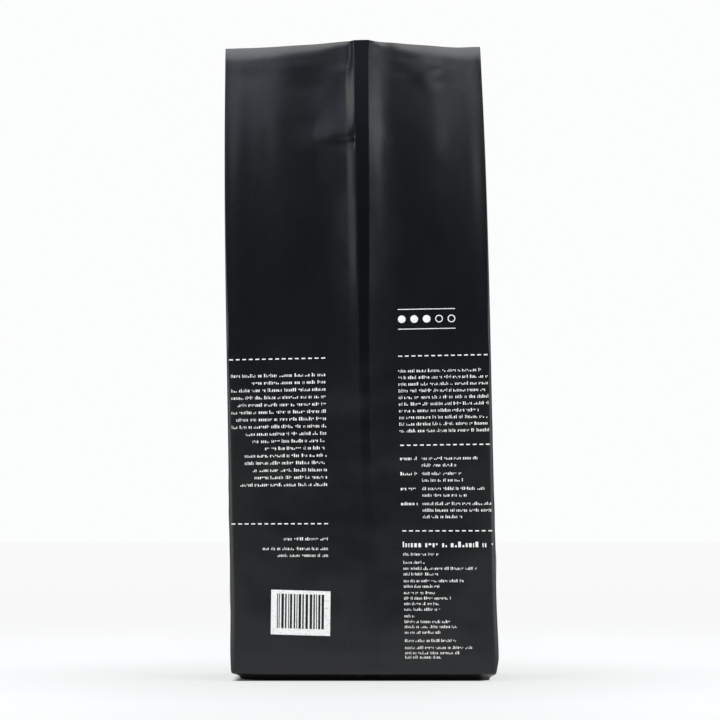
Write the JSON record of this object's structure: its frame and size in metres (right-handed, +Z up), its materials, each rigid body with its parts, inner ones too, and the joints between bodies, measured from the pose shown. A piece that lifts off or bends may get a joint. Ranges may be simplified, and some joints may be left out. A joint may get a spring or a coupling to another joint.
{
  "type": "coffee bag with valve",
  "caption": "Tall side-gusset coffee bag of black film, filled, sealed across the top and standing upright, with a degassing valve on the front.",
  "frame": {"origin": "centre of the bounding box in plan, on the surface that the bag stands on", "axes": "+Z up along the bag's height, +Y out of the front panel with the valve, +X to the right when the back panel with its centre seam faces the viewer"},
  "size_m": [0.1449, 0.0842, 0.3425],
  "materials": {
    "film": "satin black laminated film",
    "print": "matte white ink",
    "valve": "moulded black plastic, satin"
  },
  "bodies": {
    "root": {"bag": "film", "valve": "valve"}
  },
  "joints": []
}
